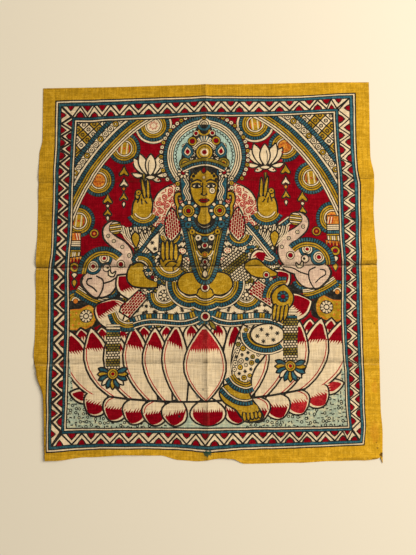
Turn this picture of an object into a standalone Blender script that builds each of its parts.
"""Kalamkari panel: one hand-painted cotton cloth, laid flat, with its pressed fold lines.

The cloth lies face up in the XY plane with the top of its picture towards +Y.
Its underside rests at z = 0. Lengths in the tables are millimetres.
"""

import math
from collections import namedtuple

import bmesh
import bpy

MM = 0.001

CLOTH_NAME = "kalamkari_cloth"
COLLECTION_NAME = "kalamkari_panel"

THICKNESS = 1.0
HALF_WIDTH = 254.5
SIDE_TOP = 283.0
SIDE_BOTTOM = -283.0

# The mesh: lines this far apart, and closer beside each pressed fold.
ACROSS_SPACING = 18.0
UP_SPACING = 22.0
FOLD_LINE_OFFSETS = (-22.0, -11.0, -5.0, 0.0, 5.0, 11.0, 22.0)
TURN_COLUMNS = 7
OPEN_STRIP = 8.0

# The cloth's edges, each measured from the middle of the panel.
# A side row is a height up the panel and how far out the edge is there.
SideRow = namedtuple("SideRow", "height out")
LEFT_CUT_EDGE = (
    SideRow(283, -249.5),
    SideRow(202, -249),
    SideRow(176, -253.5),
    SideRow(85, -253.5),
    SideRow(3, -254.5),
    SideRow(-90, -254),
    SideRow(-128, -255),
    SideRow(-283, -254),
)
RIGHT_CUT_EDGE = (
    SideRow(283, 252),
    SideRow(168, 250.5),
    SideRow(134, 255),
    SideRow(80, 252.5),
    SideRow(6, 254.5),
    SideRow(-110, 253.5),
    SideRow(-208, 253),
    SideRow(-236, 254.5),
    SideRow(-283, 253),
)
# Where the lower left margin turns under; above the first row it lies open.
LEFT_TURN_LINE = (
    SideRow(-118, -258),
    SideRow(-130, -255),
    SideRow(-152, -249),
    SideRow(-192, -237.5),
    SideRow(-236, -235.5),
    SideRow(-283, -234),
)

# An end row is a place across the panel and how far up or down the edge is there.
EndRow = namedtuple("EndRow", "across up")
TOP_CUT_EDGE = (
    EndRow(-255, 282.5),
    EndRow(-160, 282.5),
    EndRow(0, 284),
    EndRow(90, 283.5),
    EndRow(180, 284),
    EndRow(255, 283),
)
BOTTOM_CUT_EDGE = (
    EndRow(-255, -280.5),
    EndRow(-214, -279),
    EndRow(-173, -275),
    EndRow(-119, -271.5),
    EndRow(-67, -272.5),
    EndRow(-38, -279),
    EndRow(-14, -280.5),
    EndRow(26, -276),
    EndRow(38, -277),
    EndRow(56, -284),
    EndRow(134, -282.5),
    EndRow(182, -280),
    EndRow(226, -279),
    EndRow(244, -277),
    EndRow(255, -272),
)

# A pressed fold that dips to the ground between two low swells.
# Each swell is as high as given at its crest and dies out at its reach.
DipFold = namedtuple("DipFold", "height above_rise above_crest above_reach below_rise below_crest below_reach")
DIP_FOLDS = (
    DipFold(133, 1.3, 9, 42, 0.7, 12, 38),
    DipFold(3, 2.2, 8, 48, 1.2, 10, 44),
    DipFold(-140, 1.0, 10, 40, 0.7, 12, 36),
)
# A pressed fold that stands up as a ridge, sharp along its top.
RidgeFold = namedtuple("RidgeFold", "across rise left_reach right_reach")
RIDGE_FOLDS = (RidgeFold(2, 1.5, 26, 16),)

# A place along the bottom edge that stands off the ground.
EdgeLift = namedtuple("EdgeLift", "across rise half_length inward")
BOTTOM_LIFTS = (
    EdgeLift(-120, 2.6, 62, 22),
    EdgeLift(30, 2.2, 34, 18),
    EdgeLift(238, 1.4, 22, 20),
)

# The turned margin: the radius of its bend, and how far the layer above stays level and then falls.
TURN_RADIUS = 1.6
TURN_SHOULDER = 15.0
TURN_FALL = 24.0

MUSTARD = (0.57, 0.35, 0.025, 1.0)
CLOTH_ROUGHNESS = 0.9


def between(low, high, share):
    """The value a share of the way from low to high."""
    return low + (high - low) * share


def ease(share):
    """Zero to one with a soft start and a soft end."""
    share = min(max(share, 0.0), 1.0)
    return share * share * (3.0 - 2.0 * share)


def read_table(rows, place):
    """A smooth reading of a table of (place, value) rows, whichever way its places run."""
    points = sorted((row[0], row[1]) for row in rows)
    if place <= points[0][0]:
        return points[0][1]
    for (low, low_value), (high, high_value) in zip(points, points[1:]):
        if place <= high:
            return between(low_value, high_value, ease((place - low) / (high - low)))
    return points[-1][1]


def swell(distance, rise, crest, reach):
    """The height of a swell that starts at a fold, crests and dies out."""
    if distance < crest:
        return rise * math.sin(0.5 * math.pi * distance / crest)
    return rise * ease((reach - distance) / (reach - crest))


def fold_height(x, y):
    """How far the pressed folds and lifted edges raise the cloth at a place."""
    height = 0.0
    for fold in DIP_FOLDS:
        if y >= fold.height:
            height += swell(y - fold.height, fold.above_rise, fold.above_crest, fold.above_reach)
        else:
            height += swell(fold.height - y, fold.below_rise, fold.below_crest, fold.below_reach)
    for ridge in RIDGE_FOLDS:
        reach = ridge.right_reach if x >= ridge.across else ridge.left_reach
        height += ridge.rise * max(0.0, 1.0 - abs(x - ridge.across) / reach) ** 2
    for lift in BOTTOM_LIFTS:
        along = ease(1.0 - abs(x - lift.across) / lift.half_length)
        up = max(0.0, 1.0 - (y - read_table(BOTTOM_CUT_EDGE, x)) / lift.inward)
        height += lift.rise * along * up * up
    return height


def turned_under(y):
    """How much of the left margin is turned under at a height up the panel."""
    if y > LEFT_TURN_LINE[0].height:
        return 0.0
    return max(0.0, read_table(LEFT_TURN_LINE, y) - read_table(LEFT_CUT_EDGE, y))


def curl_under(x, y, turned):
    """The left margin's points beyond the turn line go round a small half circle and back underneath."""
    line = read_table(LEFT_TURN_LINE, y)
    shoulder_height = TURN_RADIUS * (1.0 - math.cos(min(math.pi, turned / TURN_RADIUS)))
    beyond = line - x
    if beyond <= 0.0:
        fall = ease(1.0 - (-beyond - TURN_SHOULDER) / TURN_FALL)
        return x, between(fold_height(x, y), shoulder_height, fall)
    angle = min(math.pi, beyond / TURN_RADIUS)
    tail = beyond - angle * TURN_RADIUS
    x = line - TURN_RADIUS * math.sin(angle) + tail
    return x, shoulder_height - TURN_RADIUS * (1.0 - math.cos(angle))


def lay_out(column, row, across_lines, up_lines):
    """The place of one crossing of the mesh lines, once the cloth lies on the ground."""
    side_height = up_lines[row]
    y_share = (side_height - SIDE_BOTTOM) / (SIDE_TOP - SIDE_BOTTOM)
    left = read_table(LEFT_CUT_EDGE, side_height)
    right = read_table(RIGHT_CUT_EDGE, side_height)
    turned = turned_under(side_height)
    strip = max(turned, OPEN_STRIP)
    if column < TURN_COLUMNS:
        x = left + strip * column / TURN_COLUMNS
    else:
        line = across_lines[column - TURN_COLUMNS]
        x = between(left + strip, right, (line - across_lines[0]) / (across_lines[-1] - across_lines[0]))
    y = between(read_table(BOTTOM_CUT_EDGE, x), read_table(TOP_CUT_EDGE, x), y_share)
    if turned > 0.0:
        x, height = curl_under(x, y, turned)
    else:
        height = fold_height(x, y)
    return x, y, 0.5 * THICKNESS + height


def mesh_lines(low, high, spacing, folds):
    """Where the mesh lines run between two limits: even, but closer together beside each fold."""
    lines = [fold + offset for fold in folds for offset in FOLD_LINE_OFFSETS]
    count = round((high - low) / spacing)
    for step in range(count + 1):
        line = between(low, high, step / count)
        if all(abs(line - other) > 0.5 * spacing for other in lines):
            lines.append(line)
    return sorted(lines)


def dyed_cotton():
    """The mustard-dyed cotton of the whole cloth."""
    material = bpy.data.materials.new("mustard_dyed_cotton")
    material.use_nodes = True
    shader = material.node_tree.nodes["Principled BSDF"]
    shader.inputs["Base Color"].default_value = MUSTARD
    shader.inputs["Roughness"].default_value = CLOTH_ROUGHNESS
    shader.inputs["Metallic"].default_value = 0.0
    return material


def make_cloth(collection):
    """The cloth: an open grid laid out along its folds, then thickened."""
    ridge_places = [ridge.across for ridge in RIDGE_FOLDS]
    dip_places = [fold.height for fold in DIP_FOLDS]
    across_lines = mesh_lines(OPEN_STRIP - HALF_WIDTH, HALF_WIDTH, ACROSS_SPACING, ridge_places)
    up_lines = mesh_lines(SIDE_BOTTOM, SIDE_TOP, UP_SPACING, dip_places)
    columns = TURN_COLUMNS + len(across_lines) - 1
    rows = len(up_lines) - 1
    sheet = bmesh.new()
    bmesh.ops.create_grid(sheet, x_segments=columns, y_segments=rows, size=1.0)
    for vert in sheet.verts:
        column = round((vert.co.x + 1.0) / 2.0 * columns)
        row = round((vert.co.y + 1.0) / 2.0 * rows)
        vert.co = lay_out(column, row, across_lines, up_lines)
    low = [min(vert.co[axis] for vert in sheet.verts) for axis in range(2)]
    high = [max(vert.co[axis] for vert in sheet.verts) for axis in range(2)]
    for vert in sheet.verts:
        vert.co.x = (vert.co.x - 0.5 * (low[0] + high[0])) * MM
        vert.co.y = (vert.co.y - 0.5 * (low[1] + high[1])) * MM
        vert.co.z = vert.co.z * MM
    bmesh.ops.recalc_face_normals(sheet, faces=sheet.faces)

    mesh = bpy.data.meshes.new(CLOTH_NAME)
    sheet.to_mesh(mesh)
    sheet.free()
    mesh.materials.append(dyed_cotton())
    mesh.shade_smooth()
    cloth = bpy.data.objects.new(CLOTH_NAME, mesh)
    collection.objects.link(cloth)

    solid = cloth.modifiers.new("thickness", "SOLIDIFY")
    solid.thickness = THICKNESS * MM
    solid.offset = 0.0
    return cloth


def main():
    for item in list(bpy.data.objects):
        bpy.data.objects.remove(item, do_unlink=True)
    collection = bpy.data.collections.new(COLLECTION_NAME)
    bpy.context.scene.collection.children.link(collection)
    make_cloth(collection)


main()
